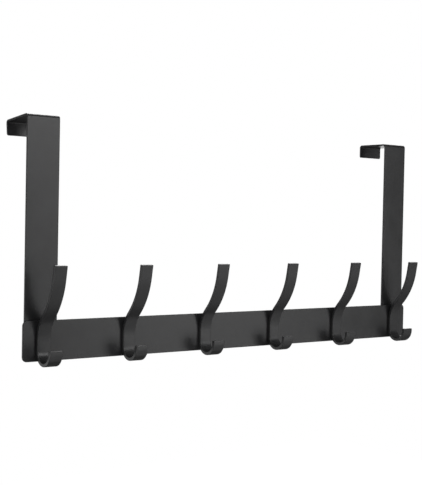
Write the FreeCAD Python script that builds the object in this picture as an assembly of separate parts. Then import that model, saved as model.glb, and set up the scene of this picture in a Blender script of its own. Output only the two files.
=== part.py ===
"""Over door hook rack: one flat steel rail, two door hangers and six double hooks.

Millimetres, +Z up, the front towards -Y and the length along X. The origin is the natural
reference of the object: the front edge of the door's top, midway between the two hangers.
Y = 0 is the face of the door and Z = 0 is the door's top, so the hangers sit on both.

Every hanger and hook is one flat strip with straight bends. Each is drawn here as the side view
of its bends, a chain of straight runs and tangent bends of one thickness, and then taken across
the strip's width.
"""
import FreeCAD, Part
import os
from math import cos, radians, sin

# Rail
rail_length = 538.0
rail_height = 40.0
rail_thickness = 2.0
rail_corner_radius = 5.0

# Door hangers
hanger_width = 36.0
hanger_thickness = 2.0
hanger_bend_radius = 1.5
hanger_end_inset = 2.5
hanger_corner_radius = 2.0
door_gap = 40.0
lip_drop = 13.5
rail_drop = 198.0
hanger_foot_inset = 4.0
left_plate_droop = 6.0
right_plate_droop = 0.0

# Double hooks
hook_count = 6
end_hook_inset = 21.5
hook_width = 14.0
hook_thickness = 3.5
hook_corner_radius = 0.8
cup_height = 10.0
cup_radius = 10.25
cup_tip_run = 2.5
seat_run = 10.5
root_bend_radius = 32.5
root_lean = 44.0
sweep_radius = 70.5
arm_tip_lean = 10.0
arm_tip_run = 13.0

# Edges and weld marks
edge_break = 0.3
weld_mark_diameter = 4.0
weld_mark_depth = 0.2
weld_mark_spacing = 6.5

# Places that follow from the sizes above
rail_back = -hanger_thickness
rail_front = rail_back - rail_thickness
rail_top = -rail_drop
rail_bottom = rail_top - rail_height
hook_back = rail_front
seat_bottom = rail_bottom + cup_height
seat_middle = seat_bottom + seat_run / 2
hanger_centre = rail_length / 2 - hanger_end_inset - hanger_width / 2
first_hook = end_hook_inset - rail_length / 2
hook_pitch = -2 * first_hook / (hook_count - 1)

# Ways to turn at a bend, seen from the rail's left end with the front to the right
CLOCKWISE = 1
ANTICLOCKWISE = -1

# Share of a strip's thickness by which the length of a square-cut corner edge may differ
length_tolerance = 0.01


def side_point(y, z):
    """Return a point of the side view."""
    return FreeCAD.Vector(0, y, z)


def run(length):
    """Return one straight stretch of a strip."""
    return {"length": length}


def bend(inner_radius, angle, turn):
    """Return one bend by its inner radius, its angle in degrees and the way it turns."""
    return {"radius": inner_radius, "angle": angle, "turn": turn}


def strip_profile(start, heading, steps, thickness):
    """Return the side view of a bent strip as a face.

    The side is seen from the rail's left end, with the front to the right. start is the first
    point of the strip's middle line, and heading its direction in degrees clockwise from up.
    """
    half = thickness / 2
    middle = start
    clockwise_edges = []
    anticlockwise_edges = []

    def ahead(angle):
        return side_point(-sin(radians(angle)), cos(radians(angle)))

    def abeam(angle):
        return side_point(-cos(radians(angle)), -sin(radians(angle)))

    first_cap = Part.LineSegment(middle + abeam(heading) * half, middle - abeam(heading) * half)
    for step in steps:
        if "length" in step:
            onward = ahead(heading) * step["length"]
            for edges, offset in ((clockwise_edges, half), (anticlockwise_edges, -half)):
                first = middle + abeam(heading) * offset
                edges.append(Part.LineSegment(first, first + onward).toShape())
            middle = middle + onward
            continue
        turn = step["turn"]
        middle_radius = step["radius"] + half
        centre = middle + abeam(heading) * (turn * middle_radius)
        angles = [heading + turn * step["angle"] * share for share in (0, 0.5, 1)]
        for edges, offset in ((clockwise_edges, half), (anticlockwise_edges, -half)):
            radius = middle_radius - turn * offset
            points = [centre - abeam(angle) * (turn * radius) for angle in angles]
            edges.append(Part.Arc(*points).toShape())
        heading = angles[-1]
        middle = centre - abeam(heading) * (turn * middle_radius)
    last_cap = Part.LineSegment(middle + abeam(heading) * half, middle - abeam(heading) * half)
    caps = [first_cap.toShape(), last_cap.toShape()]
    outline = Part.Wire(Part.__sortEdges__(clockwise_edges + anticlockwise_edges + caps))
    return Part.Face(outline)


def sharp_edges(shape, least_angle=30.0):
    """Return the edges where two faces meet at more than the given angle."""
    found = []
    for edge in shape.Edges:
        faces = shape.ancestorsOfType(edge, Part.Face)
        if len(faces) != 2:
            continue
        middle = edge.valueAt((edge.FirstParameter + edge.LastParameter) / 2)
        normals = []
        for face in faces:
            u, v = face.Surface.parameter(middle)
            normals.append(face.normalAt(u, v))
        if normals[0].getAngle(normals[1]) > radians(least_angle):
            found.append(edge)
    return found


def corner_edges(shape, thickness):
    """Return the short edges through the strip at the corners of its two square-cut ends."""
    return [
        edge for edge in sharp_edges(shape)
        if isinstance(edge.Curve, Part.Line) and abs(edge.Length - thickness) < thickness * length_tolerance
    ]


def bent_strip(profile, centre_x, width, thickness, corner_radius):
    """Take a side view across the strip's width, round its corners and break its edges."""
    blank = profile.extrude(FreeCAD.Vector(width, 0, 0))
    blank.translate(FreeCAD.Vector(centre_x - width / 2, 0, 0))
    blank = blank.makeFillet(corner_radius, corner_edges(blank, thickness))
    return blank.makeChamfer(edge_break, sharp_edges(blank))


def weld_marks(centre_x, back):
    """Return the two shallow dishes that spot welding leaves on a back face behind a hook."""
    half_width = weld_mark_diameter / 2
    ball_radius = (half_width ** 2 + weld_mark_depth ** 2) / (2 * weld_mark_depth)
    middle = FreeCAD.Vector(centre_x, back + ball_radius - weld_mark_depth, seat_middle)
    marks = []
    for offset in (-weld_mark_spacing / 2, weld_mark_spacing / 2):
        marks.append(Part.makeSphere(ball_radius, middle + FreeCAD.Vector(offset, 0, 0)))
    return marks


def make_rail(hook_places):
    """Return the flat rail with rounded corners, dished where the middle hooks are welded."""
    corner = FreeCAD.Vector(-rail_length / 2, rail_front, rail_bottom)
    plate = Part.makeBox(rail_length, rail_thickness, rail_height, corner)
    plate = plate.makeFillet(rail_corner_radius, corner_edges(plate, rail_thickness))
    plate = plate.makeChamfer(edge_break, sharp_edges(plate))
    for place in hook_places[1:-1]:
        plate = plate.cut(weld_marks(place, rail_back))
    return plate


def make_hanger(centre_x, plate_droop, hook_place):
    """Return one door hanger: a leg behind the rail, a plate over the door and a back lip."""
    half = hanger_thickness / 2
    foot = rail_bottom + hanger_foot_inset
    leg_run = -hanger_bend_radius - foot
    plate_run = door_gap - 2 * hanger_bend_radius
    steps = [
        run(leg_run),
        bend(hanger_bend_radius, 90 + plate_droop, ANTICLOCKWISE),
        run(plate_run),
        bend(hanger_bend_radius, 90, ANTICLOCKWISE),
        run(lip_drop - hanger_bend_radius),
    ]
    profile = strip_profile(side_point(-half, foot), 0, steps, hanger_thickness)
    strip = bent_strip(profile, centre_x, hanger_width, hanger_thickness, hanger_corner_radius)
    return strip.cut(weld_marks(hook_place, 0))


def make_hook(centre_x):
    """Return one double hook: a cup below, a flat seat on the rail and a long swept arm."""
    middle_radius = cup_radius + hook_thickness / 2
    tip = side_point(
        hook_back - hook_thickness / 2 - 2 * middle_radius,
        seat_bottom + cup_tip_run,
    )
    steps = [
        run(cup_tip_run),
        bend(cup_radius, 180, CLOCKWISE),
        run(seat_run),
        bend(root_bend_radius, root_lean, CLOCKWISE),
        bend(sweep_radius, root_lean - arm_tip_lean, ANTICLOCKWISE),
        run(arm_tip_run),
    ]
    profile = strip_profile(tip, 180, steps, hook_thickness)
    return bent_strip(profile, centre_x, hook_width, hook_thickness, hook_corner_radius)


def main():
    """Make every piece and write one STEP file for each."""
    hook_places = [first_hook + index * hook_pitch for index in range(hook_count)]
    pieces = {
        "rail": make_rail(hook_places),
        "left_door_hanger": make_hanger(-hanger_centre, left_plate_droop, hook_places[0]),
        "right_door_hanger": make_hanger(hanger_centre, right_plate_droop, hook_places[-1]),
    }
    for number, place in enumerate(hook_places, start=1):
        pieces[f"hook_{number}"] = make_hook(place)
    os.makedirs("parts", exist_ok=True)
    for name, shape in pieces.items():
        shape.exportStep(f"parts/{name}.step")
        print(name, "valid", shape.isValid(), "solids", len(shape.Solids), "mm3", round(shape.Volume))


main()
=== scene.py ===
"""Over door hook rack: flat steel strip in satin black powder coat, in a plain white studio.

Each piece is made the way the real one is. A flat blank is cut to size, its corners are rounded
and its edges broken, and it is then bent along its middle line. The strips' sizes are in
millimetres until a mesh is written, which is in metres. The studio's sizes are in metres.
"""
import logging
from dataclasses import dataclass
from enum import Enum
from math import ceil, cos, pi, radians, sin, sqrt

import bmesh
import bpy
from mathutils import Matrix, Vector


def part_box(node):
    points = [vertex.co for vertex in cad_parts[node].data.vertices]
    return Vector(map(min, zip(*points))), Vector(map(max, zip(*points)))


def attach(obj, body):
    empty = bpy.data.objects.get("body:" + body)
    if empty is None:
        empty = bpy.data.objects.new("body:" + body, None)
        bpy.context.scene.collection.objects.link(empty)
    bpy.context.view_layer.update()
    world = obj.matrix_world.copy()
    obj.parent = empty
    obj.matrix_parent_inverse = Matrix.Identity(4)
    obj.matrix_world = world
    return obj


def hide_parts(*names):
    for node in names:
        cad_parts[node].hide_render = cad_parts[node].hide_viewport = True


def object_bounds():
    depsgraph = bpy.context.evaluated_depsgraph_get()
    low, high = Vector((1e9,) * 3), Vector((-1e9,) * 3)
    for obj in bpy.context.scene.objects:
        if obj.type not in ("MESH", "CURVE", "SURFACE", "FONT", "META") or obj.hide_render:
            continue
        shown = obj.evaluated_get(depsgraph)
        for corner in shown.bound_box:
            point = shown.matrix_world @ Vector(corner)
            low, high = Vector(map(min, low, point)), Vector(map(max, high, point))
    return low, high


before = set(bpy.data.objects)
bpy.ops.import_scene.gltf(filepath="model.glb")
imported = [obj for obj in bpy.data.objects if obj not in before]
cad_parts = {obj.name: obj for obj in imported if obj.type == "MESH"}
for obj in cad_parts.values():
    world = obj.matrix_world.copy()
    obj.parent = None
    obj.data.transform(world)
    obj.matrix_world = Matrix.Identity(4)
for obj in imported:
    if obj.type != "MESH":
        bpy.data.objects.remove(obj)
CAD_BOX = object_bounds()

MM = 0.001
BODY = "root"
LOG = logging.getLogger("door_rack")

# Headings of a strip's first run, in degrees clockwise from up
UP = 0.0
DOWN = 180.0

# Bends in degrees
SQUARE = 90.0
HALF_TURN = 180.0

# Depth of the door's face, on which the hangers' legs lie
DOOR_FACE = 0.0

# An edge is sharp where its faces turn by more than this
SHARP_ANGLE = pi / 4

# The bevel profile that makes a true arc
ROUND_PROFILE = 0.5

# Weight of a strip's large flat faces against its rounded edges in the shading, where 50 is even
FLAT_WEIGHT = 80

# A bump's depth alone says how strong it is
BUMP_STRENGTH = 1.0

# The sRGB curve: a straight foot and a power above it
BYTE_TOP = 255
SRGB_FOOT_END = 0.04045
SRGB_FOOT_SLOPE = 12.92
SRGB_OFFSET = 0.055
SRGB_POWER = 2.4

# The two shader inputs of a Mix Shader node, which share one name
FIRST_SHADER = 1
SECOND_SHADER = 2

Colour = tuple[float, float, float, float]


def linear_colour(hex_colour: str) -> Colour:
    """Turn an sRGB hex colour into linear light.

    Args:
        hex_colour: Six hex digits after a hash sign.

    Returns:
        Linear red, green, blue and an alpha of one.
    """
    channels = []
    for byte in bytes.fromhex(hex_colour.lstrip("#")):
        value = byte / BYTE_TOP
        if value <= SRGB_FOOT_END:
            channels.append(value / SRGB_FOOT_SLOPE)
        else:
            channels.append(((value + SRGB_OFFSET) / (1 + SRGB_OFFSET)) ** SRGB_POWER)
    red, green, blue = channels
    return (red, green, blue, 1.0)


def pattern_scale(feature_mm: float) -> float:
    """Return a texture's scale for a feature of that real size, in object coordinates."""
    return 1 / (feature_mm * MM)


def add_node(
    tree: bpy.types.NodeTree,
    kind: str,
    settings: dict[str, object] | None = None,
    links: dict[str, bpy.types.NodeSocket] | None = None,
) -> bpy.types.Node:
    """Add one node with its settings and links.

    Args:
        tree: The tree that gets the node.
        kind: Blender's name for the kind of node.
        settings: Values by the name of an input or of a property.
        links: Output sockets by the name of the input that they feed.

    Returns:
        The new node.
    """
    node = tree.nodes.new(kind)
    for name, value in (settings or {}).items():
        if name in node.inputs:
            node.inputs[name].default_value = value
        else:
            setattr(node, name, value)
    for name, source in (links or {}).items():
        tree.links.new(source, node.inputs[name])
    return node


@dataclass(frozen=True)
class PowderCoat:
    """Satin black polyester powder coat, sprayed dry on steel and baked.

    It gives the eye a deep neutral grey with a broad soft sheen, a very fine grain, and a slow
    orange peel that only shows where a reflection runs across it.

    Attributes:
        name: The material's name.
        thick_hex: Colour where the coat is a little thicker.
        thin_hex: Colour where the coat is a little thinner.
        cloud_mm: Distance over which the coat's thickness drifts.
        roughness_low: Roughness of the smoother areas.
        roughness_high: Roughness of the drier areas.
        refraction: Refractive index of polyester resin.
        peel_mm: Size of the orange peel.
        peel_depth_mm: Depth of the orange peel.
        grain_mm: Size of the grain, drawn coarser than the real 0.1 mm so that it shows.
        grain_depth_mm: Depth of the grain.
        cloud_detail: How many finer drifts lie over the slow one.
        cloud_gain: How much each finer drift counts beside the one before it.
        thick_up_to: Height of the drift up to which the coat is thick.
        thin_from: Height of the drift from which the coat is thin.
        peel_detail: How many finer waves lie over the orange peel.
        grain_detail: How many finer grains lie over the grain.
        metallic: Share of metal in the coat's surface.
    """

    name: str
    thick_hex: str
    thin_hex: str
    cloud_mm: float
    roughness_low: float
    roughness_high: float
    refraction: float
    peel_mm: float
    peel_depth_mm: float
    grain_mm: float
    grain_depth_mm: float
    cloud_detail: float = 3.0
    cloud_gain: float = 0.55
    thick_up_to: float = 0.3
    thin_from: float = 0.7
    peel_detail: float = 1.0
    grain_detail: float = 2.0
    metallic: float = 0.0

    def material(self) -> bpy.types.Material:
        """Make the finish once, as a node-based material.

        Returns:
            The material, the same one each time.
        """
        made = bpy.data.materials.get(self.name)
        if made is not None:
            return made
        made = bpy.data.materials.new(self.name)
        made.use_nodes = True
        tree = made.node_tree
        tree.nodes.clear()
        place = add_node(tree, "ShaderNodeTexCoord").outputs["Object"]
        cloud = add_node(
            tree, "ShaderNodeTexNoise",
            {
                "Scale": pattern_scale(self.cloud_mm),
                "Detail": self.cloud_detail,
                "Roughness": self.cloud_gain,
            },
            {"Vector": place},
        )
        shade = add_node(tree, "ShaderNodeValToRGB", links={"Fac": cloud.outputs["Fac"]})
        thick, thin = shade.color_ramp.elements
        thick.position = self.thick_up_to
        thick.color = linear_colour(self.thick_hex)
        thin.position = self.thin_from
        thin.color = linear_colour(self.thin_hex)
        dryness = add_node(
            tree, "ShaderNodeMapRange",
            {"To Min": self.roughness_low, "To Max": self.roughness_high},
            {"Value": cloud.outputs["Fac"]},
        )
        peel = add_node(
            tree, "ShaderNodeTexNoise",
            {"Scale": pattern_scale(self.peel_mm), "Detail": self.peel_detail},
            {"Vector": place},
        )
        grain = add_node(
            tree, "ShaderNodeTexNoise",
            {"Scale": pattern_scale(self.grain_mm), "Detail": self.grain_detail},
            {"Vector": place},
        )
        slow = add_node(
            tree, "ShaderNodeBump",
            {"Strength": BUMP_STRENGTH, "Distance": self.peel_depth_mm * MM},
            {"Height": peel.outputs["Fac"]},
        )
        fine = add_node(
            tree, "ShaderNodeBump",
            {"Strength": BUMP_STRENGTH, "Distance": self.grain_depth_mm * MM},
            {"Height": grain.outputs["Fac"], "Normal": slow.outputs["Normal"]},
        )
        coat = add_node(
            tree, "ShaderNodeBsdfPrincipled",
            {"IOR": self.refraction, "Metallic": self.metallic},
            {
                "Base Color": shade.outputs["Color"],
                "Roughness": dryness.outputs["Result"],
                "Normal": fine.outputs["Normal"],
            },
        )
        add_node(tree, "ShaderNodeOutputMaterial", links={"Surface": coat.outputs["BSDF"]})
        return made


@dataclass(frozen=True)
class MattPaint:
    """Pale matt paint, rolled on the studio's floor.

    It gives the eye a plain ground with no grain, glare or shadow, as bright as the white behind
    the rack.

    Attributes:
        name: The material's name.
        paint_hex: Its colour.
        roughness: Its roughness.
        glow: Strength of the light that it gives off itself, which keeps it free of shadows.
    """

    name: str
    paint_hex: str
    roughness: float
    glow: float

    def material(self) -> bpy.types.Material:
        """Make the finish as a node-based material.

        Returns:
            The new material.
        """
        made = bpy.data.materials.new(self.name)
        made.use_nodes = True
        tree = made.node_tree
        tree.nodes.clear()
        paint = add_node(
            tree, "ShaderNodeBsdfPrincipled",
            {
                "Base Color": linear_colour(self.paint_hex),
                "Roughness": self.roughness,
                "Emission Color": linear_colour(self.paint_hex),
                "Emission Strength": self.glow,
            },
        )
        add_node(tree, "ShaderNodeOutputMaterial", links={"Surface": paint.outputs["BSDF"]})
        return made


# Satin polyester coat is typically at an IOR of 1.5, with no metal and a roughness of 0.3 to 0.5.
# The colour and roughness are then matched to the rail: dark grey faces with soft broad lights.
BLACK_COAT = PowderCoat(
    name="powder_coated_steel_black",
    thick_hex="#1B1B1C",
    thin_hex="#29292A",
    cloud_mm=34.0,
    roughness_low=0.31,
    roughness_high=0.41,
    refraction=1.5,
    peel_mm=2.4,
    peel_depth_mm=0.03,
    grain_mm=0.5,
    grain_depth_mm=0.012,
)

# Matt white wall paint, at a typical roughness of 0.9
FLOOR_PAINT = MattPaint(name="pale_painted_floor", paint_hex="#F7F7F5", roughness=0.9, glow=1.0)


class Turn(Enum):
    """The way a strip turns at a bend, seen from the rack's left end, the front to the right."""

    CLOCKWISE = 1
    ANTICLOCKWISE = -1


class Side(Enum):
    """The end of the rail that a hanger stands at, as the viewer faces the hooks."""

    LEFT = "left"
    RIGHT = "right"


@dataclass(frozen=True)
class Run:
    """A straight stretch of a strip.

    Attributes:
        length: Its length.
    """

    length: float


@dataclass(frozen=True)
class Bend:
    """A bend of a strip.

    Attributes:
        inner_radius: Radius on the inside of the bend.
        angle: How far it turns, in degrees.
        turn: The way it turns.
    """

    inner_radius: float
    angle: float
    turn: Turn


@dataclass(frozen=True)
class MiddleLine:
    """The middle line of a bent strip in its side view.

    Attributes:
        start: The first point, as depth and height.
        heading: The first direction, in degrees clockwise from up.
        thickness: The strip's thickness.
        steps: Runs and bends, one after the other.
        facet_angle: The angle that one facet of a bend covers, in degrees.
        facet_length: Rough length of one facet of a straight run.
        least_facets: The fewest facets of a bend.
    """

    start: tuple[float, float]
    heading: float
    thickness: float
    steps: tuple[Run | Bend, ...]
    facet_angle: float = 4.0
    facet_length: float = 9.0
    least_facets: int = 2

    def step_length(self, step: Run | Bend) -> float:
        """Measure one step along the middle line.

        Args:
            step: The run or bend.

        Returns:
            Its length.
        """
        if isinstance(step, Run):
            return step.length
        return radians(step.angle) * (step.inner_radius + self.thickness / 2)

    def stations(self) -> list[float]:
        """Share out the lines across the blank.

        Returns:
            The distance of each one along the middle line.
        """
        found = [0.0]
        for step in self.steps:
            size = self.step_length(step)
            if isinstance(step, Run):
                count = max(1, round(size / self.facet_length))
            else:
                count = max(self.least_facets, ceil(step.angle / self.facet_angle))
            first = found[-1]
            found += [first + size * (index + 1) / count for index in range(count)]
        return found

    def place(self, along: float, offset: float) -> tuple[float, float]:
        """Return where a point of the flat blank lies once the strip is bent.

        Args:
            along: Distance from the strip's start, along the middle line.
            offset: Distance from the middle line, positive on the clockwise side.

        Returns:
            The point's depth and height.
        """
        depth, height = self.start
        heading = radians(self.heading)
        left = along
        for number, step in enumerate(self.steps):
            size = self.step_length(step)
            last = number == len(self.steps) - 1
            part = left if last else min(left, size)
            if isinstance(step, Run):
                depth -= sin(heading) * part
                height += cos(heading) * part
            else:
                side = step.turn.value
                radius = step.inner_radius + self.thickness / 2
                centre_depth = depth - cos(heading) * side * radius
                centre_height = height - sin(heading) * side * radius
                heading += side * part / radius
                depth = centre_depth + cos(heading) * side * radius
                height = centre_height + sin(heading) * side * radius
            left -= part
            if left <= 0:
                break
        return depth - cos(heading) * offset, height - sin(heading) * offset


@dataclass(frozen=True)
class Blank:
    """A flat strip, cut to size, with rounded corners and broken edges.

    Attributes:
        width: Its width, along the rack.
        thickness: Its thickness.
        corner_radius: Radius of its four corners.
        edge_radius: Radius of all its edges.
        column: Rough distance between the lines that run along it.
        corner_facets: Facets of one rounded corner.
        edge_facets: Facets of one rounded edge.
    """

    width: float
    thickness: float
    corner_radius: float
    edge_radius: float = 0.5
    column: float = 5.0
    corner_facets: int = 6
    edge_facets: int = 4

    def flat_mesh(self, stations: list[float]) -> bmesh.types.BMesh:
        """Make the blank before it is bent.

        Args:
            stations: Distances along the blank where it gets a line across.

        Returns:
            A mesh with X across the blank, Y through it and Z along it.
        """
        mesh = bmesh.new()
        parts = max(2, round(self.width / self.column))
        columns = [self.width * (part / parts - 0.5) for part in range(parts + 1)]
        sheets = []
        for offset in (-self.thickness / 2, self.thickness / 2):
            sheets.append([[mesh.verts.new((x, offset, z)) for x in columns] for z in stations])
        for sheet in sheets:
            for low, high in zip(sheet, sheet[1:]):
                for part in range(parts):
                    mesh.faces.new((low[part], low[part + 1], high[part + 1], high[part]))
        first_rim, second_rim = (self.rim(sheet) for sheet in sheets)
        for point in range(len(first_rim)):
            after = (point + 1) % len(first_rim)
            mesh.faces.new((
                first_rim[point], first_rim[after], second_rim[after], second_rim[point],
            ))
        bmesh.ops.recalc_face_normals(mesh, faces=mesh.faces)
        self.round_edges(mesh, self.corner_edges(mesh), self.corner_radius, self.corner_facets)
        self.round_edges(mesh, self.outline_edges(mesh), self.edge_radius, self.edge_facets)
        return mesh

    @staticmethod
    def rim(sheet: list[list[bmesh.types.BMVert]]) -> list[bmesh.types.BMVert]:
        """Walk round the outline of one flat side.

        Args:
            sheet: The side's points, row by row.

        Returns:
            The points of its outline, in order.
        """
        first, last = sheet[0], sheet[-1]
        right = [row[-1] for row in sheet[1:-1]]
        left = [row[0] for row in sheet[1:-1]]
        return first + right + last[::-1] + left[::-1]

    def corner_edges(self, mesh: bmesh.types.BMesh) -> list[bmesh.types.BMEdge]:
        """Return the four short edges through the blank at its corners."""
        through = [edge for edge in mesh.edges if self.depth_span(edge) > self.thickness / 2]
        return [edge for edge in through if edge.calc_face_angle(0.0) > SHARP_ANGLE]

    def outline_edges(self, mesh: bmesh.types.BMesh) -> list[bmesh.types.BMEdge]:
        """Return the edges round both flat sides of the blank."""
        flat = [edge for edge in mesh.edges if self.depth_span(edge) < self.thickness / 2]
        return [edge for edge in flat if edge.calc_face_angle(0.0) > SHARP_ANGLE]

    @staticmethod
    def depth_span(edge: bmesh.types.BMEdge) -> float:
        """Return how far an edge reaches through the blank."""
        return abs(edge.verts[0].co.y - edge.verts[1].co.y)

    @staticmethod
    def round_edges(
        mesh: bmesh.types.BMesh, edges: list[bmesh.types.BMEdge], radius: float, facets: int
    ) -> None:
        """Round some edges of a mesh to a radius."""
        bmesh.ops.bevel(
            mesh, geom=edges, offset=radius, offset_type="OFFSET", segments=facets,
            profile=ROUND_PROFILE, affect="EDGES", clamp_overlap=False,
        )


@dataclass(frozen=True)
class WeldMark:
    """The shallow round dish that spot welding presses into the back of a strip.

    Attributes:
        across: Its place along the rack.
        depth: The back face that it is pressed into.
        height: Its height.
        diameter: Its diameter at the face.
        dish: How deep it is.
        rings: Rings of facets from its middle to its rim.
        spokes: Facets round it.
    """

    across: float
    depth: float
    height: float
    diameter: float = 4.0
    dish: float = 0.2
    rings: int = 6
    spokes: int = 32

    def cutter(self, mesh: bmesh.types.BMesh) -> None:
        """Add a solid of the dish's shape to a mesh, one ring taller than the dish.

        Args:
            mesh: The mesh that gets it.
        """
        rim = self.diameter / 2
        # Radius of the ball that presses a dish so wide and deep
        ball = (rim ** 2 + self.dish ** 2) / (2 * self.dish)
        loops = []
        for ring in range(1, self.rings + 2):
            radius = rim * ring / self.rings
            rise = ball - self.dish - sqrt(ball ** 2 - radius ** 2)
            loops.append([
                mesh.verts.new((
                    self.across + radius * cos(2 * pi * spoke / self.spokes),
                    self.depth + rise,
                    self.height + radius * sin(2 * pi * spoke / self.spokes),
                ))
                for spoke in range(self.spokes)
            ])
        middle = mesh.verts.new((self.across, self.depth - self.dish, self.height))
        for spoke in range(self.spokes):
            after = (spoke + 1) % self.spokes
            mesh.faces.new((middle, loops[0][spoke], loops[0][after]))
            for inner, outer in zip(loops, loops[1:]):
                mesh.faces.new((inner[spoke], outer[spoke], outer[after], inner[after]))
        mesh.faces.new(list(reversed(loops[-1])))


@dataclass(frozen=True)
class StripPiece:
    """One bent strip of the rack.

    Attributes:
        name: The piece's name.
        node: The solid that it stands for.
        blank: Its flat blank.
        line: Its middle line.
        across: The place of its middle along the rack.
        marks: Weld marks on its back.
    """

    name: str
    node: str
    blank: Blank
    line: MiddleLine
    across: float
    marks: tuple[WeldMark, ...] = ()

    def build(self, finish: PowderCoat) -> bpy.types.Object:
        """Make the piece, dress it and put it on the frame.

        Args:
            finish: The finish that it gets.

        Returns:
            The finished object.
        """
        mesh = self.blank.flat_mesh(self.line.stations())
        for vertex in mesh.verts:
            depth, height = self.line.place(vertex.co.z, vertex.co.y)
            vertex.co = Vector((self.across + vertex.co.x, depth, height)) * MM
        bmesh.ops.recalc_face_normals(mesh, faces=mesh.faces)
        piece = self.as_object(mesh, self.name)
        if self.marks:
            self.press_marks(piece)
        for polygon in piece.data.polygons:
            polygon.use_smooth = True
        piece.data.materials.clear()
        piece.data.materials.append(finish.material())
        flats = piece.modifiers.new("flat_faces", "WEIGHTED_NORMAL")
        flats.keep_sharp = True
        flats.weight = FLAT_WEIGHT
        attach(piece, BODY)
        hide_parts(self.node)
        return piece

    def press_marks(self, piece: bpy.types.Object) -> None:
        """Cut the weld marks into the piece's back.

        Args:
            piece: The strip without its marks.
        """
        mesh = bmesh.new()
        for mark in self.marks:
            mark.cutter(mesh)
        bmesh.ops.scale(mesh, vec=(MM, MM, MM), verts=mesh.verts)
        bmesh.ops.recalc_face_normals(mesh, faces=mesh.faces)
        cutter = self.as_object(mesh, self.name + "_marks")
        cut = piece.modifiers.new("weld_marks", "BOOLEAN")
        cut.operation = "DIFFERENCE"
        cut.solver = "EXACT"
        cut.object = cutter
        graph = bpy.context.evaluated_depsgraph_get()
        dished = bpy.data.meshes.new_from_object(piece.evaluated_get(graph))
        piece.modifiers.remove(cut)
        piece.data = dished
        bpy.data.objects.remove(cutter)

    @staticmethod
    def as_object(mesh: bmesh.types.BMesh, name: str) -> bpy.types.Object:
        """Turn a mesh into an object of the scene and free it.

        Args:
            mesh: The mesh.
            name: The object's name.

        Returns:
            The new object.
        """
        data = bpy.data.meshes.new(name)
        mesh.to_mesh(data)
        mesh.free()
        made = bpy.data.objects.new(name, data)
        bpy.context.scene.collection.objects.link(made)
        return made


@dataclass(frozen=True)
class Span:
    """A solid's box in millimetres.

    Attributes:
        low: Its lowest corner.
        high: Its highest corner.
    """

    low: Vector
    high: Vector

    @classmethod
    def of(cls, node: str) -> "Span":
        """Return the box of a solid of the frame."""
        low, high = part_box(node)
        return cls(Vector(low) / MM, Vector(high) / MM)

    def middle(self) -> Vector:
        """Return the middle of the box."""
        return (self.low + self.high) / 2

    def size(self) -> Vector:
        """Return the box's size."""
        return self.high - self.low


@dataclass(frozen=True)
class Rail:
    """The flat rail that carries the hooks.

    Attributes:
        node: The solid that it stands for.
        corner_radius: Radius of its corners.
        column: Rough distance between the lines that run up it.
    """

    node: str = "rail"
    corner_radius: float = 5.0
    column: float = 18.0

    def build(self, marks: tuple[WeldMark, ...]) -> bpy.types.Object:
        """Make the rail.

        Args:
            marks: The weld marks of the hooks that the rail alone carries.

        Returns:
            The finished object.
        """
        span = Span.of(self.node)
        length, thickness, height = span.size()
        blank = Blank(length, thickness, self.corner_radius, column=self.column)
        line = MiddleLine((span.middle().y, span.low.z), UP, thickness, (Run(height),))
        piece = StripPiece("rail_plate", self.node, blank, line, span.middle().x, marks)
        return piece.build(BLACK_COAT)


@dataclass(frozen=True)
class DoorHanger:
    """One strip bent over the door: a leg, a top plate and a back lip.

    Attributes:
        side: Which hanger it is.
        droop: How far its top bend is closed past square, in degrees.
        thickness: The strip's thickness.
        bend_radius: Inside radius of both bends.
        door_gap: Clear gap for the door.
        lip_drop: How far the lip reaches below the plate.
        corner_radius: Radius of the strip's corners.
    """

    side: Side
    droop: float
    thickness: float = 2.0
    bend_radius: float = 1.5
    door_gap: float = 40.0
    lip_drop: float = 13.5
    corner_radius: float = 2.0

    def build(self, marks: tuple[WeldMark, ...]) -> bpy.types.Object:
        """Make the hanger.

        Args:
            marks: The weld marks of the hook in front of it.

        Returns:
            The finished object.
        """
        node = f"{self.side.value}_door_hanger"
        name = f"{self.side.value}_hanger_strip"
        span = Span.of(node)
        foot = (span.low.y + self.thickness / 2, span.low.z)
        steps = (
            Run(-self.bend_radius - span.low.z),
            Bend(self.bend_radius, SQUARE + self.droop, Turn.ANTICLOCKWISE),
            Run(self.door_gap - 2 * self.bend_radius),
            Bend(self.bend_radius, SQUARE, Turn.ANTICLOCKWISE),
            Run(self.lip_drop - self.bend_radius),
        )
        blank = Blank(span.size().x, self.thickness, self.corner_radius)
        line = MiddleLine(foot, UP, self.thickness, steps)
        piece = StripPiece(name, node, blank, line, span.middle().x, marks)
        return piece.build(BLACK_COAT)


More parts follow.
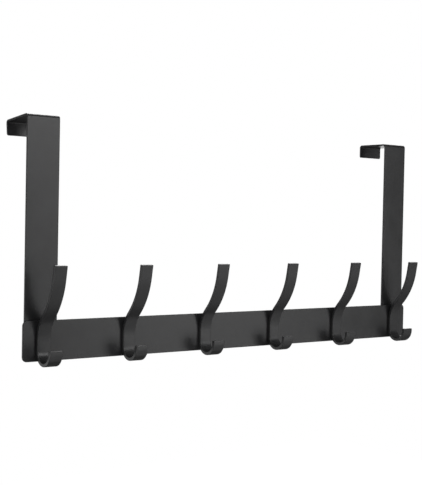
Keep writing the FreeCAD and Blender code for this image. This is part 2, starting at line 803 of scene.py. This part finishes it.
@dataclass(frozen=True)
class DoubleHook:
    """One strip bent into a long upper arm and a small lower cup.

    Attributes:
        number: The hook's number, from the left.
        thickness: The strip's thickness.
        corner_radius: Radius of the strip's corners.
        cup_height: Height of the cup's middle over the rail's lower edge.
        cup_radius: Inside radius of the cup.
        cup_tip_run: Straight end of the cup.
        seat_run: Flat stretch that lies on the rail.
        root_radius: Inside radius of the bend where the arm leaves the rail.
        root_lean: How far the arm leans out there, in degrees.
        sweep_radius: Inside radius of the arm's long curve.
        tip_lean: How far the arm's end leans out, in degrees.
        tip_run: Straight end of the arm.
        mark_spacing: Distance between the two weld marks behind the seat.
        column: Rough distance between the lines that run along the strip.
        facet_angle: The angle that one facet of a bend covers, in degrees.
        facet_length: Rough length of one facet of a straight run.
    """

    number: int
    thickness: float = 3.5
    corner_radius: float = 0.8
    cup_height: float = 10.0
    cup_radius: float = 10.25
    cup_tip_run: float = 2.5
    seat_run: float = 10.5
    root_radius: float = 32.5
    root_lean: float = 44.0
    sweep_radius: float = 70.5
    tip_lean: float = 10.0
    tip_run: float = 13.0
    mark_spacing: float = 6.5
    column: float = 3.0
    facet_angle: float = 3.0
    facet_length: float = 4.0

    def node(self) -> str:
        """Return the name of the solid that it stands for."""
        return f"hook_{self.number}"

    def build(self) -> bpy.types.Object:
        """Make the hook on the rail's front face, from the cup's tip to the arm's end.

        Returns:
            The finished object.
        """
        span = Span.of(self.node())
        rail = Span.of("rail")
        # From the rail's face to the middle of the strip at the cup's tip
        reach = 2 * self.cup_radius + 3 * self.thickness / 2
        tip = (rail.low.y - reach, rail.low.z + self.cup_height + self.cup_tip_run)
        steps = (
            Run(self.cup_tip_run),
            Bend(self.cup_radius, HALF_TURN, Turn.CLOCKWISE),
            Run(self.seat_run),
            Bend(self.root_radius, self.root_lean, Turn.CLOCKWISE),
            Bend(self.sweep_radius, self.root_lean - self.tip_lean, Turn.ANTICLOCKWISE),
            Run(self.tip_run),
        )
        blank = Blank(span.size().x, self.thickness, self.corner_radius, column=self.column)
        line = MiddleLine(tip, DOWN, self.thickness, steps, self.facet_angle, self.facet_length)
        name = f"{self.node()}_strip"
        piece = StripPiece(name, self.node(), blank, line, span.middle().x)
        return piece.build(BLACK_COAT)

    def weld_marks(self, back: float) -> tuple[WeldMark, ...]:
        """Place the two marks that its welds leave behind its seat.

        Args:
            back: Depth of the back face that they are on.

        Returns:
            Both marks.
        """
        across = Span.of(self.node()).middle().x
        height = Span.of("rail").low.z + self.cup_height + self.seat_run / 2
        places = (across - self.mark_spacing / 2, across + self.mark_spacing / 2)
        return tuple(WeldMark(place, back, height) for place in places)


@dataclass(frozen=True)
class PhotoCamera:
    """The camera at the photo's place, worked out from the outline of the whole rack.

    Attributes:
        place: Where it stands, in millimetres from the rack's origin.
        yaw: How far it looks to the right of straight in, in degrees.
        pitch: How far it looks up, in degrees.
        roll: How far it is turned about its own axis, in degrees.
        focal_px: Focal length in pixels of the photo.
        long_side_px: The photo's longer side.
        sensor: Width of the sensor in millimetres, which covers that side.
        nearest: Distance from which it sees, in metres.
        farthest: Distance up to which it sees, in metres.
    """

    place: tuple[float, float, float] = (-767.944, -934.556, -99.447)
    yaw: float = 37.964
    pitch: float = -1.46
    roll: float = 1.155
    focal_px: float = 1086.1
    long_side_px: int = 500
    sensor: float = 36.0
    nearest: float = 0.01
    farthest: float = 50.0

    def build(self) -> None:
        """Make the camera and give it to the scene."""
        data = bpy.data.cameras.new("photo_camera")
        data.sensor_width = self.sensor
        data.lens = self.focal_px / self.long_side_px * self.sensor
        data.clip_start = self.nearest
        data.clip_end = self.farthest
        camera = bpy.data.objects.new("photo_camera", data)
        yaw = radians(self.yaw)
        pitch = radians(self.pitch)
        roll = radians(self.roll)
        ahead = Vector((sin(yaw) * cos(pitch), cos(yaw) * cos(pitch), sin(pitch)))
        level = Vector((cos(yaw), -sin(yaw), 0.0))
        upright = level.cross(ahead)
        right = level * cos(roll) + upright * sin(roll)
        up = upright * cos(roll) - level * sin(roll)
        turned = Matrix((right, up, -ahead)).transposed().to_4x4()
        camera.matrix_world = Matrix.Translation(Vector(self.place) * MM) @ turned
        bpy.context.scene.collection.objects.link(camera)
        bpy.context.scene.camera = camera


@dataclass(frozen=True)
class SoftBox:
    """One square studio soft box that faces the rack.

    Attributes:
        name: Its name.
        azimuth: Its bearing from the rack, in degrees to the right of straight in front.
        elevation: Its height above the rack's level, in degrees.
        distance: Its distance from the rack, in metres.
        size: The length of its side, in metres.
        power: Its power in watts.
    """

    name: str
    azimuth: float
    elevation: float
    distance: float
    size: float
    power: float

    def build(self, target: Vector) -> None:
        """Hang the soft box and aim it.

        Args:
            target: The point that it faces.
        """
        data = bpy.data.lights.new(self.name, "AREA")
        data.shape = "SQUARE"
        data.size = self.size
        data.energy = self.power
        lamp = bpy.data.objects.new(self.name, data)
        bearing = radians(self.azimuth)
        rise = radians(self.elevation)
        away = Vector((sin(bearing) * cos(rise), -cos(bearing) * cos(rise), sin(rise)))
        lamp.location = target + away * self.distance
        lamp.rotation_mode = "QUATERNION"
        lamp.rotation_quaternion = away.to_track_quat("Z", "Y")
        lamp.visible_camera = False
        bpy.context.scene.collection.objects.link(lamp)


# Both boxes show in the rail and the hangers' legs, which they lift from black to dark grey
KEY_BOXES = (
    SoftBox("key_box", azimuth=35.0, elevation=3.0, distance=1.9, size=0.7, power=3.3),
    SoftBox("low_key_box", azimuth=35.0, elevation=-12.0, distance=1.9, size=0.7, power=1.6),
)

# Above: the upper parts of the legs and the feet of the seats
UPPER_BOXES = (
    SoftBox("upper_front_box", azimuth=18.0, elevation=20.0, distance=1.9, size=0.7, power=7.5),
    SoftBox("upper_left_box", azimuth=-45.0, elevation=50.0, distance=1.6, size=1.0, power=7.5),
)

# From the left: a little light on the curves, and the faces as seen from the right
LEFT_BOXES = (
    SoftBox("left_box", azimuth=-90.0, elevation=0.0, distance=2.0, size=1.2, power=12.0),
    SoftBox("low_left_box", azimuth=-60.0, elevation=-25.0, distance=2.0, size=1.2, power=7.0),
)

# Low in front: the arms, which lean out and face down
FLOOR_BOXES = (
    SoftBox("floor_board", azimuth=35.0, elevation=-38.0, distance=1.9, size=1.8, power=5.4),
)

# Behind: the rack's back, the plates, and the thin edges on the left and on top
BACK_BOXES = (
    SoftBox("back_left_box", azimuth=215.0, elevation=-20.0, distance=2.2, size=1.0, power=4.0),
    SoftBox("back_right_box", azimuth=140.0, elevation=12.0, distance=2.2, size=1.8, power=24.0),
    SoftBox("back_top_box", azimuth=150.0, elevation=50.0, distance=2.0, size=1.2, power=30.0),
)


@dataclass(frozen=True)
class Studio:
    """The white room: a pale floor at the foot of a door, a white surround and soft boxes.

    Attributes:
        floor_depth: How far the floor lies below the door's top, in metres.
        floor_size: The length of the floor's side, in metres.
        surround_hex: The colour behind the rack.
        seen: Brightness of the surround to the camera.
        fill: Strength of the soft light that it sheds on the rack from all round.
        boxes: The soft boxes.
    """

    floor_depth: float = 2.0
    floor_size: float = 12.0
    surround_hex: str = "#FFFFFF"
    seen: float = 1.0
    fill: float = 0.14
    boxes: tuple[SoftBox, ...] = KEY_BOXES + UPPER_BOXES + LEFT_BOXES + FLOOR_BOXES + BACK_BOXES

    def build(self) -> None:
        """Make the floor, the surround and the lights."""
        self.build_floor()
        self.build_surround()
        low, high = CAD_BOX
        target = (Vector(low) + Vector(high)) / 2
        for box in self.boxes:
            box.build(target)
        bpy.context.scene.view_settings.view_transform = "Standard"

    def build_floor(self) -> None:
        """Lay the floor, which shows to the camera but throws no light up at the rack."""
        mesh = bmesh.new()
        bmesh.ops.create_grid(mesh, x_segments=1, y_segments=1, size=self.floor_size / 2)
        floor = StripPiece.as_object(mesh, "floor")
        floor.location.z = -self.floor_depth
        floor.visible_diffuse = False
        floor.visible_glossy = False
        floor.data.materials.append(FLOOR_PAINT.material())

    def build_surround(self) -> None:
        """Make the surround white to the eye and a weaker fill light for the rack."""
        world = bpy.data.worlds.new("white_surround")
        bpy.context.scene.world = world
        world.use_nodes = True
        tree = world.node_tree
        tree.nodes.clear()
        white = linear_colour(self.surround_hex)
        seen = add_node(tree, "ShaderNodeBackground", {"Color": white, "Strength": self.seen})
        fill = add_node(tree, "ShaderNodeBackground", {"Color": white, "Strength": self.fill})
        ray = add_node(tree, "ShaderNodeLightPath")
        mix = add_node(tree, "ShaderNodeMixShader", links={"Fac": ray.outputs["Is Camera Ray"]})
        tree.links.new(fill.outputs["Background"], mix.inputs[FIRST_SHADER])
        tree.links.new(seen.outputs["Background"], mix.inputs[SECOND_SHADER])
        add_node(tree, "ShaderNodeOutputWorld", links={"Surface": mix.outputs["Shader"]})


def main() -> None:
    """Build the hooks, the rail, the hangers and the studio, and report each piece."""
    logging.basicConfig(level=logging.INFO, format="%(name)s: %(message)s")
    hook_nodes = [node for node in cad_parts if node.startswith("hook_")]
    hooks = [DoubleHook(number) for number in range(1, len(hook_nodes) + 1)]
    rail_back = Span.of("rail").high.y
    middle_marks = tuple(mark for hook in hooks[1:-1] for mark in hook.weld_marks(rail_back))
    left_hanger = DoorHanger(Side.LEFT, droop=6.0)
    right_hanger = DoorHanger(Side.RIGHT, droop=0.0)
    pieces = [hook.build() for hook in hooks]
    pieces.append(Rail().build(middle_marks))
    pieces.append(left_hanger.build(hooks[0].weld_marks(DOOR_FACE)))
    pieces.append(right_hanger.build(hooks[-1].weld_marks(DOOR_FACE)))
    for piece in pieces:
        LOG.info("%s: %d faces", piece.name, len(piece.data.polygons))
    Studio().build()
    PhotoCamera().build()


if __name__ == "__main__":
    main()
